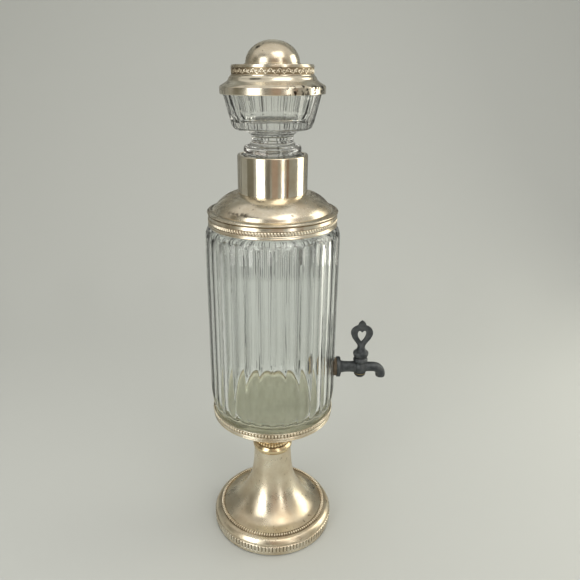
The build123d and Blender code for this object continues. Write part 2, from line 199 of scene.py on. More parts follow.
# ---- materials ----------------------------------------------------------------------------------------
class Nodes:
    """Short way to build a material's node tree."""

    def __init__(self, name):
        self.material = bpy.data.materials.new(name)
        self.material.use_nodes = True
        self.tree = self.material.node_tree
        self.shader = self.tree.nodes["Principled BSDF"]
        self.output = self.tree.nodes["Material Output"]

    def add(self, kind, **values):
        node = self.tree.nodes.new(kind)
        for key, value in values.items():
            if hasattr(node, key):
                setattr(node, key, value)
            else:
                node.inputs[key.replace("_", " ")].default_value = value
        return node

    def link(self, a, b):
        self.tree.links.new(a, b)

    def place(self, stretch=(1, 1, 1)):
        """Object coordinates stretched along the axes."""
        where = self.add("ShaderNodeTexCoord")
        mapping = self.add("ShaderNodeMapping")
        mapping.inputs["Scale"].default_value = stretch
        self.link(where.outputs["Object"], mapping.inputs["Vector"])
        return mapping.outputs["Vector"]

    def noise(self, scale, detail=3.0, stretch=(1, 1, 1), rough=0.5):
        node = self.add("ShaderNodeTexNoise")
        node.inputs["Scale"].default_value = scale
        node.inputs["Detail"].default_value = detail
        node.inputs["Roughness"].default_value = rough
        self.link(self.place(stretch), node.inputs["Vector"])
        return node.outputs["Fac"]

    def ramp(self, value, *stops):
        node = self.add("ShaderNodeValToRGB")
        while len(node.color_ramp.elements) < len(stops):
            node.color_ramp.elements.new(0.5)
        for element, (where, colour) in zip(node.color_ramp.elements, stops):
            element.position = where
            if isinstance(colour, (int, float)):
                colour = (colour, colour, colour)
            element.color = (*colour, 1)
        self.link(value, node.inputs["Fac"])
        return node.outputs["Color"]

    def mix(self, share, a, b):
        node = self.add("ShaderNodeMix", data_type="RGBA")
        self.link(share, node.inputs["Factor"])
        for socket, value in ((node.inputs[6], a), (node.inputs[7], b)):
            if isinstance(value, tuple):
                socket.default_value = (*value, 1)
            else:
                self.link(value, socket)
        return node.outputs[2]

    def maths(self, operation, a, b):
        node = self.add("ShaderNodeMath", operation=operation)
        for socket, value in ((node.inputs[0], a), (node.inputs[1], b)):
            if isinstance(value, (int, float)):
                socket.default_value = value
            else:
                self.link(value, socket)
        return node.outputs[0]

    def spot(self, centre, size):
        """1 at a place on the object (mm), fading raggedly to 0 at about `size` (mm) from it."""
        away = self.add("ShaderNodeVectorMath", operation="DISTANCE")
        self.link(self.place(), away.inputs[0])
        away.inputs[1].default_value = [c * MM for c in centre]
        share = self.maths("DIVIDE", away.outputs["Value"], size * MM)
        ragged = self.maths("MULTIPLY", self.noise(330, 4, rough=0.7), 0.9)
        return self.ramp(self.maths("ADD", share, ragged), (0.75, 1.0), (1.25, 0.0))

    def bump(self, height, distance, strength=1.0):
        node = self.add("ShaderNodeBump")
        node.inputs["Distance"].default_value = distance
        node.inputs["Strength"].default_value = strength
        self.link(height, node.inputs["Height"])
        self.link(node.outputs["Normal"], self.shader.inputs["Normal"])


def around(radius, degrees, z):
    """Place (mm) on a ring about the axis; 0 degrees faces the front (-Y) and +90 the spigot (+X)."""
    turn = math.radians(degrees)
    return (radius * math.sin(turn), -radius * math.cos(turn), z)


def worn_silver(name, clean, tarnish, rough, amount, stains_and_painted_reflections=(), chipped=()):
    """Plated metal with cloudy tarnish, small dark pits, fine rubbing marks, stains, dark spots painted as
    reflections, and chipped places.
    """
    m = Nodes(name)
    cloud = m.noise(34, 5, rough=0.62)
    patches = m.ramp(cloud, (0.5 - 0.2 * amount, 0.0), (0.78 - 0.12 * amount, 0.75))
    pits = m.ramp(m.noise(210, 2, rough=0.7), (0.70 - 0.04 * amount, 0.0), (0.76, 1.0))
    deep = tuple(c * 0.42 for c in tarnish)
    colour = m.mix(patches, clean, tarnish)
    colour = m.mix(pits, colour, deep)
    # Dark spots: real stains and pits, and on the dome and the shoulder painted dark reflections.
    for centre, size in stains_and_painted_reflections:
        colour = m.mix(m.spot(centre, size), colour, (0.10, 0.085, 0.06))
    for centre, size in chipped:
        flakes = m.ramp(m.noise(260, 3, rough=0.75), (0.49, 0.0), (0.53, 1.0))
        colour = m.mix(m.maths("MULTIPLY", m.spot(centre, size), flakes), colour, (0.05, 0.04, 0.03))
    m.link(colour, m.shader.inputs["Base Color"])
    m.shader.inputs["Metallic"].default_value = 1.0
    fine = m.noise(90, 4, rough=0.6)
    base = m.ramp(fine, (0.3, rough * 0.75), (0.75, rough * 1.35))
    rougher = m.maths("MULTIPLY", patches, 0.16)
    worn = m.maths("ADD", base, rougher)
    m.link(m.maths("ADD", worn, m.maths("MULTIPLY", pits, 0.3)), m.shader.inputs["Roughness"])
    scratches = m.noise(1500, 2, (1, 1, 0.25))
    dents = m.noise(60, 2)
    height = m.maths("ADD", m.maths("MULTIPLY", scratches, 0.10), m.maths("MULTIPLY", dents, 0.9))
    height = m.maths("SUBTRACT", height, m.maths("MULTIPLY", pits, 0.25))
    m.bump(height, 0.0002, 0.35)
    return m.material


def clear_glass(name, tint, waviness, rough=0.0):
    """Pressed glass; shadow rays pass through it so that it doesn't darken what it holds."""
    m = Nodes(name)
    m.shader.inputs["Base Color"].default_value = (*tint, 1)
    m.shader.inputs["Transmission Weight"].default_value = 1.0
    m.shader.inputs["IOR"].default_value = 1.5
    haze = m.ramp(m.noise(120, 4), (0.45, rough), (0.8, rough + 0.05))
    m.link(haze, m.shader.inputs["Roughness"])
    m.bump(m.noise(70, 2, (1, 1, 0.5)), 0.0004, waviness)
    path = m.add("ShaderNodeLightPath")
    through = m.add("ShaderNodeBsdfTransparent")
    through.inputs["Color"].default_value = (*tint, 1)
    both = m.add("ShaderNodeMixShader")
    m.link(path.outputs["Is Shadow Ray"], both.inputs[0])
    m.link(m.shader.outputs[0], both.inputs[1])
    m.link(through.outputs[0], both.inputs[2])
    m.link(both.outputs[0], m.output.inputs["Surface"])
    return m.material


def cast_metal(name, dark, light, rough, grain):
    """Rough cast metal with an uneven oxidised skin."""
    m = Nodes(name)
    patches = m.ramp(m.noise(160, 5, rough=0.65), (0.35, 0.0), (0.7, 1.0))
    m.link(m.mix(patches, dark, light), m.shader.inputs["Base Color"])
    m.shader.inputs["Metallic"].default_value = 0.75
    m.link(m.ramp(m.noise(300, 3), (0.3, rough - 0.1), (0.7, rough + 0.14)), m.shader.inputs["Roughness"])
    m.bump(m.noise(620, 4, rough=0.6), 0.0004, grain)
    return m.material


def plain_surface(name, dark, light, scale, rough, bump=0.2, metallic=0.0, sheen=0.0):
    """Surface mottled between two colours, for bedding, felt, fibre, tinned sheet and turned brass."""
    m = Nodes(name)
    mottle = m.ramp(m.noise(scale, 5), (0.3, 0.0), (0.7, 1.0))
    m.link(m.mix(mottle, dark, light), m.shader.inputs["Base Color"])
    m.shader.inputs["Metallic"].default_value = metallic
    m.shader.inputs["Sheen Weight"].default_value = sheen
    uneven = m.ramp(m.noise(scale * 2, 3), (0.3, rough - 0.06), (0.7, rough + 0.06))
    m.link(uneven, m.shader.inputs["Roughness"])
    m.bump(m.noise(scale * 4, 4), 0.0004, bump)
    return m.material


SILVER_CLEAN = (0.83, 0.77, 0.64)
SILVER_TARNISH = (0.50, 0.38, 0.23)
SLEEVE_SILVER = worn_silver(
    "silver_sleeve", SILVER_CLEAN, SILVER_TARNISH, 0.115, 0.3, stains_and_painted_reflections=[(around(28.2, 78, 356.0), 2.2)],
)
cap_low, _, cap_rim = span("stopper_cap")
CAP_SILVER = worn_silver(
    "silver_cap", SILVER_CLEAN, SILVER_TARNISH, 0.19, 0.35,
    chipped=[(around(cap_rim, degrees, cap_low + 3.0), 11.0) for degrees in (20, 35, 50, 65)],
)
dome_low = span("stopper_dome")[0]
# The two dark spots on the dome's upper front left are a painted dark reflection.
DOME_SILVER = worn_silver(
    "silver_dome", SILVER_CLEAN, SILVER_TARNISH, 0.21, 0.3,
    stains_and_painted_reflections=[(around(16.4, -44, dome_low + 12.5), 4.4), (around(13.6, -34, dome_low + 15.5), 4.0)],
)
shoulder_top = span("shoulder_cap")[1]
# The row of dark spots at the shoulder's front left is a painted dark reflection streak.
SHOULDER_SILVER = worn_silver(
    "silver_shoulder", (0.84, 0.78, 0.65), SILVER_TARNISH, 0.21, 0.5,
    stains_and_painted_reflections=[(around(49.5, degrees, shoulder_top - 8.7), 6.5) for degrees in (-46, -41, -36, -31, -26)],
)
FOOT_SILVER = worn_silver(
    "silver_foot", (0.83, 0.76, 0.61), SILVER_TARNISH, 0.25, 0.8,
    stains_and_painted_reflections=[(around(45.0, 106, span("foot_step_beads")[0] + 1.0), 1.9)],
)
SILVER_WORN = worn_silver("silver_worn", (0.84, 0.78, 0.65), SILVER_TARNISH, 0.19, 0.6)
SILVER_DULL = worn_silver("silver_dull", (0.83, 0.77, 0.63), (0.50, 0.40, 0.26), 0.25, 0.75)
SILVER_GOLD = worn_silver("silver_worn_to_gold", (0.80, 0.66, 0.42), (0.55, 0.40, 0.20), 0.22, 0.5)
# Dark silver that paints shade into crevices, grooves and the gaps between beads.
SILVER_PAINTED_SHADE = worn_silver("silver_painted_shade_in_crevices", (0.34, 0.27, 0.17), (0.15, 0.11, 0.07), 0.40, 1.0)
BOTTLE_GLASS = clear_glass("bottle_glass", (0.955, 0.975, 0.965), 0.16)
STOPPER_GLASS = clear_glass("stopper_glass", (0.97, 0.98, 0.965), 0.07)
SLEEVE = clear_glass("clear_sleeve", (0.95, 0.95, 0.92), 0.2, 0.12)
PEWTER = cast_metal("dark_pewter", (0.040, 0.046, 0.050), (0.12, 0.128, 0.132), 0.46, 0.8)
BRASS = plain_surface("turned_brass", (0.30, 0.23, 0.12), (0.58, 0.46, 0.26), 260, 0.33, 0.25, 1.0)
PLASTER = plain_surface("cream_bedding", (0.66, 0.62, 0.47), (0.80, 0.76, 0.62), 60, 0.82, 0.5)
FIBRE = plain_surface("brown_fibre", (0.05, 0.035, 0.022), (0.12, 0.085, 0.05), 500, 0.7, 0.6)
FELT = plain_surface("felt", (0.05, 0.075, 0.05), (0.10, 0.13, 0.09), 900, 0.95, 1.0, 0.0, 0.4)
TIN = plain_surface("tinned_sheet", (0.36, 0.35, 0.31), (0.56, 0.55, 0.5), 90, 0.42, 0.3, 1.0)


def finish_piece(thing, material, body, slot, *nodes):
    thing.data.materials.append(material)
    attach(thing, body)
    if nodes:
        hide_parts(*nodes)
    return thing


def silver(thing, material, body, *nodes):
    finish_piece(thing, material, body, "silver_plate", *nodes)
    # Second slot: the painted shade for a relief's deepest share.
    thing.data.materials.append(SILVER_PAINTED_SHADE)
    return thing


# ---- foot ---------------------------------------------------------------------------------------------
low, high, foot_r = span("foot_shell")
band_low, band_high, band_r = span("foot_rim_band")
bead_low, bead_high, bead_r = span("foot_step_beads")
stem_r = span("stem_beads")[2] + 0.4
trumpet = smooth_run([
    (bead_r - 3.2, bead_low), (bead_r - 10.2, 22.2), (bead_r - 17.2, 27.6), (bead_r - 24.2, 36.4),
    (bead_r - 29.0, 46.5), (20.3, 57.0), (18.8, 69.0), (stem_r, high - 1.0),
], 8)
ogee = smooth_run([
    (foot_r, band_high + 0.2), (foot_r - 0.25, 13.4), (foot_r - 1.3, 15.2), (foot_r - 3.0, 16.9),
    (foot_r - 5.3, 17.8),
], 5)
foot_outline = (
    rounded([(foot_r - 1.2, low), (foot_r, low), (foot_r, band_low - 0.4), (foot_r - 0.5, band_low)], 0.4)
    + ogee
    + rounded([
        (bead_r + 0.9, ogee[-1][1] - 0.5), (bead_r + 0.35, ogee[-1][1] - 0.3), (bead_r + 0.4, bead_low - 0.1),
    ], 0.2)
    + trumpet
    + [(stem_r, high), (12, high), (12, high - 1.2)]
    + [(r - 0.8, z - 0.3) for r, z in reversed(trumpet)]
    + [(foot_r - 6, ogee[-1][1] - 1.1), (foot_r - 1.2, band_high)]
)
silver(turned("foot", foot_outline, 256), FOOT_SILVER, "bottle", "foot_shell")

REEDS = 108


def reeded(angle, z):
    """Upright half-round ribs that stop short of the band's two plain edges."""
    rib = np.sqrt(np.clip(1 - (((angle * REEDS / TAU) % 1.0) * 2 - 1) ** 2 * 1.12, 0, 1))
    edge = min(z - band_low, band_high - z)
    share = min(max((edge - 0.75) / 0.45, 0.0), 1.0)
    fillet = 0.62 if 0.12 < edge < 0.8 else 0.15
    return band_r - 0.9 + 0.9 * (share * rib + (1 - share) * fillet)


heights = np.concatenate([
    np.linspace(band_low, band_low + 1.6, 9), np.linspace(band_low + 2, band_high - 2, 6),
    np.linspace(band_high - 1.6, band_high, 9),
])
silver(
    relief("foot_reeds", reeded, heights, REEDS * 10, foot_r - 0.6, 70),
    SILVER_WORN, "bottle", "foot_rim_band",
)
silver(
    bead_ring("foot_beads", 135, bead_r - 0.9, bead_low - 0.1, (1.0, 1.75, 1.5), 3),
    SILVER_DULL, "bottle", "foot_step_beads",
)

# Ring in the groove behind the foot's beads, coloured as painted shade.
groove = [(bead_r - 2.6, bead_low - 0.3), (bead_r - 2.6, bead_low + 0.15), (bead_r + 0.25, bead_low + 0.15),
          (bead_r + 0.55, bead_low - 0.3), (bead_r + 0.75, bead_low - 1.6), (bead_r, bead_low - 1.6)]
silver(turned("foot_bead_painted_shade_ring", groove), SILVER_PAINTED_SHADE, "bottle")

# ---- stem mouldings -----------------------------------------------------------------------------------
low, high, collar_r = span("stem_collar")
collar = [(10, low)] + smooth_run([
    (stem_r - 0.6, low), (collar_r - 0.5, low + 0.9), (collar_r, low + 2.8), (collar_r - 0.35, low + 4.6),
    (17.3, high),
], 6) + [(10, high)]
silver(turned("stem_moulding", collar), SILVER_GOLD, "bottle", "stem_collar")
low, high, ring_r = span("stem_beads")
silver(
    bead_ring("stem_bead_ring", 36, ring_r - 1.6, (low + high) / 2, (1.42, 1.6, 1.85), 5),
    SILVER_GOLD, "bottle", "stem_beads",
)
# Core behind the stem's beads, coloured as painted shade between them.
core = [(10, low), (ring_r - 0.6, low), (ring_r - 1.9, low + 0.6), (ring_r - 1.9, high - 0.6),
        (ring_r - 0.8, high), (10, high)]
silver(turned("stem_bead_painted_shade_core", rounded(core, 0.25)), SILVER_PAINTED_SHADE, "bottle")

# ---- cup ----------------------------------------------------------------------------------------------
low, high, cup_max = span("cup_shell")
band_low, band_high, band_r = span("cup_bead_band")
cup_r = cup_max - 0.7
dish = smooth_run([(17.0, low), (21.0, low + 5.8), (30.0, low + 14.6), (40.0, low + 22.2), (49.0, low + 28.6),
                   (cup_r - 0.9, low + 31.5)], 6)
lip = rounded([
    (cup_r - 0.6, band_low - 3.6), (cup_r + 0.6, band_low - 3.4), (cup_r + 0.6, band_low - 2.3),
    (cup_r - 0.3, band_low - 2.0), (cup_r - 0.3, band_low - 1.5), (cup_r + 0.5, band_low - 1.2),
    (cup_r + 0.5, band_low - 0.3), (cup_r, band_low), (cup_r, high), (cup_r - 0.8, high),
    (cup_r - 0.8, band_low - 2.0),
], 0.35)
inside = [(r - 0.6, z + 0.7) for r, z in reversed(dish)]
silver(
    turned("cup", [(10, low)] + dish + lip + inside + [(10, low + 0.8)], 256),
    SILVER_WORN, "bottle", "cup_shell",
)
silver(
    bead_ring("cup_beads", 120, cup_r - 0.1, (band_low + band_high) / 2 - 0.1, (1.3, 1.25, 1.75), 7),
    SILVER_DULL, "bottle", "cup_bead_band",
)
# Ring in the groove behind the cup's beads, coloured as painted shade.
groove = [(cup_r - 0.5, band_low + 0.3), (cup_r + 0.08, band_low + 0.4), (cup_r + 0.08, band_high - 0.5),
          (cup_r - 0.5, band_high - 0.4)]
silver(turned("cup_bead_painted_shade_ring", groove), SILVER_PAINTED_SHADE, "bottle")
for name, z in (("cup_fillet_low", band_low + 0.25), ("cup_fillet_high", band_high - 0.42)):
    fillet = [(cup_r - 0.3, z - 0.35), (cup_r + 0.6, z - 0.3), (cup_r + 0.6, z + 0.3),
              (cup_r - 0.3, z + 0.35)]
    silver(turned(name, rounded(fillet, 0.35)), SILVER_WORN, "bottle")

# ---- glass bottle -------------------------------------------------------------------------------------
FLUTES = 30
FLUTE_DEPTH = 1.55
low, _, body_r = span("glass_bottle")
high = span("glass_neck")[1]
neck_r = 27.3
envelope = (
    [(0.0, low), (20.0, low), (40.0, low)]
    + smooth_run([(49.0, low), (51.4, low + 0.25), (52.9, low + 1.1), (53.7, low + 3.0), (54.6, low + 6.2),
                  (56.0, low + 11.6), (57.4, low + 19.0), (body_r, low + 30.0)], 9)
    + [(body_r, z) for z in np.linspace(low + 33, 298, 40)]
    + smooth_run([(body_r, 301.0), (body_r - 0.25, 304.4), (body_r - 1.5, 308.6), (body_r - 3.4, 311.2),
                  (body_r - 5.8, 312.8)], 10)
    + smooth_run([(50.0, 316.6), (45.0, 320.6), (36.0, 328.6), (30.4, 332.2), (28.2, 334.4),
                  (neck_r, 337.6)], 5)
    + [(neck_r, z) for z in np.linspace(342, high - 1.2, 6)]
    + [(neck_r - 0.3, high - 0.3), (neck_r - 1.1, high)]
)
inner = (
    [(23.8, high), (22.9, high - 0.3), (22.6, high - 1.0)]
    + [(22.6 - (high - 1 - z) * 0.03, z) for z in np.linspace(high - 3, 338, 8)]
    + smooth_run([(21.7, 335.6), (23.0, 331.8), (26.0, 328.6), (33.0, 323.8), (42.0, 316.6), (49.4, 309.4),
                  (52.4, 305.4), (53.4, 300.0)], 6)
    + [(53.5, z) for z in np.linspace(296, 154, 24)]
    + smooth_run([(53.4, 149.5), (52.2, 144.8), (49.4, 141.4), (44.4, 139.8), (36.0, 139.5)], 6)
    + [(20.0, 139.5), (0.0, 139.5)]
)


def flute_radius(angle):
    """Radius of the ring of shallow hollows that meet in ridges, which pressing has softened a little."""
    step = TAU / FLUTES
    t = np.abs(((angle / step + 0.5) % 1.0) - 0.5) * 2
    softened = t * t
    crest = np.clip((t - 0.90) / 0.10, 0, 1)
    return body_r - FLUTE_DEPTH * (1 - softened) - 0.12 * crest ** 2


def glass_mesh():
    segments = FLUTES * 18
    angle = np.arange(segments) / segments * TAU
    flutes = flute_radius(angle)
    rows, levels = [], []
    for r, z in envelope:
        if low + 4 < z < 313.5:
            near = 0.10
            gap = flutes - r
            share = np.clip(0.5 + 0.5 * gap / near, 0, 1)
            rows.append(flutes * (1 - share) + r * share - near * share * (1 - share))
        else:
            rows.append(np.full(segments, r))
        levels.append(z)
    for r, z in inner:
        rows.append(np.full(segments, r))
        levels.append(z)
    radius = np.array(rows)
    height = np.repeat(np.array(levels)[:, None], segments, 1)
    points = np.stack([radius * np.cos(angle), radius * np.sin(angle), height], -1).reshape(-1, 3)
    return add_mesh("fluted_bottle", points, grid_faces(len(rows), segments), 65)


finish_piece(
    glass_mesh(), BOTTLE_GLASS, "bottle", "bottle_glass", "glass_bottle", "glass_shoulder", "glass_neck"
)

# ---- shoulder and neck collar -------------------------------------------------------------------------
low, high, rim_r = span("shoulder_cap")
band_low, band_high, band_r = span("shoulder_band")
skirt_r = band_r - 0.9
dome = smooth_run([
    (skirt_r - 4.6, high - 14.3), (skirt_r - 6.4, high - 10.6), (skirt_r - 10.2, high - 6.6),
    (skirt_r - 15.0, high - 3.2), (skirt_r - 20.0, high - 1.1), (29.4, high - 0.05),
], 8)
shoulder = (
    rounded([(skirt_r - 0.8, low), (skirt_r, low), (skirt_r, band_high + 0.1)], 0.25)
    + smooth_run([(skirt_r + 0.1, band_high + 0.5), (rim_r, band_high + 1.5), (rim_r - 0.15, band_high + 2.5),
                  (skirt_r - 0.7, band_high + 3.3)], 6)
    + dome
    + [(27.9, high), (27.9, high - 0.8)]
    + [(r - 0.3, z - 0.8) for r, z in reversed(dome)]
    + [(skirt_r - 0.8, band_high + 1.5)]
)
silver(turned("shoulder", shoulder, 256), SHOULDER_SILVER, "bottle", "shoulder_cap")

STRANDS = 132


def rope(angle, z):
    """A row of slanting strands in a groove, with plain bands above and below it."""
    lift = (z - band_low - 4.9) / 1.7
    if abs(lift) < 1:
        strand = np.abs(np.cos(angle * STRANDS / 2 + lift * 0.9)) ** 1.1
        return skirt_r + 0.05 + 0.85 * strand * math.sqrt(1 - lift * lift)
    if abs(lift) < 1.22:
        return np.full_like(angle, skirt_r + 0.1)
    if abs(lift) < 1.6:
        return np.full_like(angle, skirt_r + 0.62)
    if z - band_low < 1.6:
        return np.full_like(angle, skirt_r + 0.88 - 0.3 * ((z - band_low - 0.8) / 0.8) ** 2)
    return np.full_like(angle, skirt_r + 0.46)


silver(
    relief("shoulder_rope", rope, np.linspace(band_low, band_high, 64), STRANDS * 8, skirt_r - 0.3, 75),
    SILVER_WORN, "bottle", "shoulder_band",
)

low, high, collar_r = span("neck_collar")
collar = rounded([
    (collar_r - 0.8, low), (collar_r, low), (collar_r, low + 2.0), (collar_r, high - 0.1, 1.3),
    (25.8, high, 0.35), (25.8, high - 0.7), (collar_r - 1.2, high - 0.75, 0.5), (collar_r - 0.8, high - 3),
], 0.15, 8)
silver(turned("neck_sleeve", collar, 256), SLEEVE_SILVER, "bottle", "neck_collar")

# ---- stopper ------------------------------------------------------------------------------------------
FACETS = 24
low, high, bowl_r = span("stopper_glass")
disk_low = span("stopper_seal")[1] + 0.05
disk_r = span("stopper_seal")[2] - 0.6
bowl_low = disk_low + 20.2
stopper_outline = (
    [(0.0, low), (10.0, low)]
    + smooth_run([(18.6, low), (19.8, low + 0.5), (20.4, low + 1.6), (21.0, disk_low - 6),
                  (21.2, disk_low)], 4)
    + smooth_run([(disk_r - 1.8, disk_low), (disk_r - 0.4, disk_low + 0.8), (disk_r, disk_low + 2.4),
                  (disk_r, disk_low + 4.6), (disk_r - 0.6, disk_low + 6.2),
                  (disk_r - 2.4, disk_low + 7.0)], 4)
    + smooth_run([(18.6, disk_low + 7.9), (17.0, disk_low + 10.2), (16.8, disk_low + 13.0),
                  (17.8, disk_low + 15.4),
                  (21.0, disk_low + 17.4), (25.8, disk_low + 18.9), (29.6, bowl_low - 0.6)], 5)
    + smooth_run([(30.6, bowl_low), (31.9, bowl_low + 1.0), (32.8, bowl_low + 2.6),
                  (33.6, bowl_low + 4.6)], 4)
    + [(33.6 + (bowl_r - 33.6) * t, bowl_low + 4.6 + (high - bowl_low - 4.6) * t)
       for t in np.linspace(0.1, 1, 8)]
)
stopper_inside = (
    [(bowl_r - 4.6, high), (bowl_r - 4.9, high - 0.4)]
    + smooth_run([(34.4, high - 6.0), (31.0, high - 15.0), (29.4, high - 19.0), (27.4, high - 22.0),
                  (23.6, high - 23.2), (18.0, high - 23.3)], 5)
    + [(9.0, high - 23.3), (0.0, high - 23.3)]
)


def stopper_mesh():
    step = TAU / FACETS
    shares = np.array([0.0, 0.03, 0.1, 0.22, 0.36, 0.5, 0.64, 0.78, 0.9, 0.97])
    angle = (np.arange(FACETS)[:, None] + shares[None, :]).ravel() * step
    within = ((angle / step + 1e-9) % 1.0) - 0.5
    flat = math.cos(step / 2) / np.cos(within * step)
    crest = np.clip((np.abs(within) - 0.47) / 0.03, 0, 1)
    hollow = 0.010 * (1 - (2 * within) ** 2)
    flat = flat - 0.0016 * crest - hollow
    rows, levels = [], []
    for r, z in stopper_outline:
        share = min(max((z - bowl_low + 0.4) / 2.4, 0.0), 1.0)
        rows.append(r * (1 - share + share * flat))
        levels.append(z)
    for r, z in stopper_inside:
        rows.append(np.full(len(angle), r))
        levels.append(z)
    radius = np.array(rows)
    height = np.repeat(np.array(levels)[:, None], len(angle), 1)
    turn = angle + math.radians(2)
    points = np.stack([radius * np.cos(turn), radius * np.sin(turn), height], -1).reshape(-1, 3)
    return add_mesh("faceted_stopper", points, grid_faces(len(rows), len(angle)), 35)


finish_piece(stopper_mesh(), STOPPER_GLASS, "stopper", "stopper_glass", "stopper_glass")

low, high, cap_r = span("stopper_cap")
frieze_low, frieze_high, frieze_r = span("stopper_frieze_band")
drum_r = frieze_r - 0.8
drum_low = frieze_low - 0.2
step_top = low + 7.2
cap = (
    rounded([
        (cap_r - 0.8, low + 0.2), (cap_r - 0.2, low), (cap_r, low + 0.6), (cap_r, step_top - 1.6, 1.2),
        (cap_r - 1.6, step_top - 0.1),
    ], 0.25)
    + smooth_run([(cap_r - 2.4, step_top + 0.1), (38.0, step_top + 1.0), (35.4, step_top + 2.9),
                  (34.2, drum_low - 0.5)], 6)
    + rounded([(33.9, drum_low, 0.3), (drum_r, drum_low + 0.1), (drum_r, high, 0.5), (19, high, 0)], 0.1)
    + [(19, high - 0.8), (drum_r - 0.9, high - 0.9), (drum_r - 0.9, drum_low - 0.8), (33.2, drum_low - 1.2),
       (34.8, step_top + 2.0), (38.0, step_top + 0.2), (cap_r - 0.9, step_top - 1.2)]
)
silver(turned("cap", cap, 256), CAP_SILVER, "stopper", "stopper_cap")


FRIEZE_REPEATS = 30


def frieze_height(u, v):
    """Height of a running scroll with small flowers; u runs 0..1 along one repeat and v from -1 to 1."""
    half = np.where(u < 0.5, 1.0, -1.0)
    x = (u % 0.5) * 4 - 1.0
    y = v * half
    swirl_r = np.hypot(x, y)
    swirl_a = np.arctan2(y, x)
    spiral = np.cos(swirl_a + swirl_r * 6.4)
    coil = np.clip(spiral * 1.3, 0, 1) * (swirl_r > 0.22) * np.clip((1.0 - swirl_r) / 0.12, 0, 1)
    heart = np.clip(1.2 - (swirl_r / 0.2) ** 2, 0, 1)
    along = (u % 0.5) * 4
    petals = np.cos(5 * np.arctan2(v, along))
    flower_r = np.hypot(along, v)
    flower = np.clip(1.15 - flower_r / (0.42 + 0.14 * petals), 0, 1)
    return np.clip(np.maximum(np.maximum(coil, heart), flower) ** 0.6, 0, 1)


def frieze(angle, z):
    """Relief of the frieze between two plain fillets."""
    edge = min(z - frieze_low, frieze_high - z)
    middle = (frieze_low + frieze_high) / 2
    v = (z - middle) / (frieze_high - frieze_low - 3.0) * 2
    u = (angle / TAU * FRIEZE_REPEATS) % 1.0
    share = min(max((edge - 1.2) / 0.3, 0.0), 1.0)
    fillet = 0.7 if 0.15 < edge < 1.15 else 0.1
    return drum_r + share * (0.1 + 0.34 * frieze_height(u, np.full_like(u, v))) + (1 - share) * fillet


silver(
    relief("cap_frieze", frieze, np.linspace(frieze_low, frieze_high, 44), FRIEZE_REPEATS * 56,
           drum_r - 0.3, 80),
    SILVER_WORN, "stopper", "stopper_frieze_band",
)

low, high, foot_of_dome = span("stopper_dome")
knob_r = foot_of_dome - 0.9
rise = high - low - 1.4
knob = (
    rounded([(knob_r - 1.5, low), (foot_of_dome, low), (foot_of_dome, low + 0.8),
             (knob_r + 0.15, low + 1.2)], 0.3)
    + [(knob_r * math.cos(a), low + 1.4 + rise * math.sin(a)) for a in np.linspace(0.05, math.pi / 2, 28)]
    + [((knob_r - 0.8) * math.cos(a), low + 1.4 + (rise - 0.8) * math.sin(a))
       for a in np.linspace(math.pi / 2, 0.0, 14)]
)
silver(turned("dome_knob", knob, 192), DOME_SILVER, "stopper", "stopper_dome")

# ---- spigot -------------------------------------------------------------------------------------------
body_low, body_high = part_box("spigot_body")
key_low, key_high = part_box("spigot_key")
pipe_z = (span("spigot_washer")[0] + span("spigot_washer")[1]) / 2
barrel_x = (key_low.x + key_high.x) / 2 / MM
flange_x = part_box("spigot_gasket_outer")[1].x / MM
spout_x = body_high.x / MM - 4.5
shank_x = body_low.x / MM


def moved(thing, matrix):
    thing.data.transform(matrix)
    return thing


def lying(thing):
    """Turns a piece made about Z so that it lies along X at the pipe's height."""
    return moved(thing, Matrix.Translation((0, 0, pipe_z * MM)) @ Matrix.Rotation(math.pi / 2, 4, "Y"))


def upright(thing):
    return moved(thing, Matrix.Translation((barrel_x * MM, 0, 0)))


def swept(name, path, radii, segments=40):
    """Hollow tube along a path in the XZ plane; radii is (outer, inner) for each of its points."""
    rings = []
    for i, (x, z) in enumerate(path):
        a, b = path[max(i - 1, 0)], path[min(i + 1, len(path) - 1)]
        along = np.array([b[0] - a[0], b[1] - a[1]]) / math.dist(a, b)
        side = np.array([-along[1], along[0]])
        rings.append((np.array([x, z]), side, radii[i]))
    angle = np.arange(segments) / segments * TAU
    rows = []
    for which, order in ((0, rings), (1, rings[::-1])):
        for centre, side, pair in order:
            out = pair[which] * np.cos(angle)
            rows.append(np.stack([
                centre[0] + side[0] * out, pair[which] * np.sin(angle), centre[1] + side[1] * out,
            ], -1))
    return add_mesh(name, np.vstack(rows), grid_faces(len(rows), segments, True), 40)


def pewter(thing, body, *nodes):
    return finish_piece(thing, PEWTER, body, "pewter", *nodes)


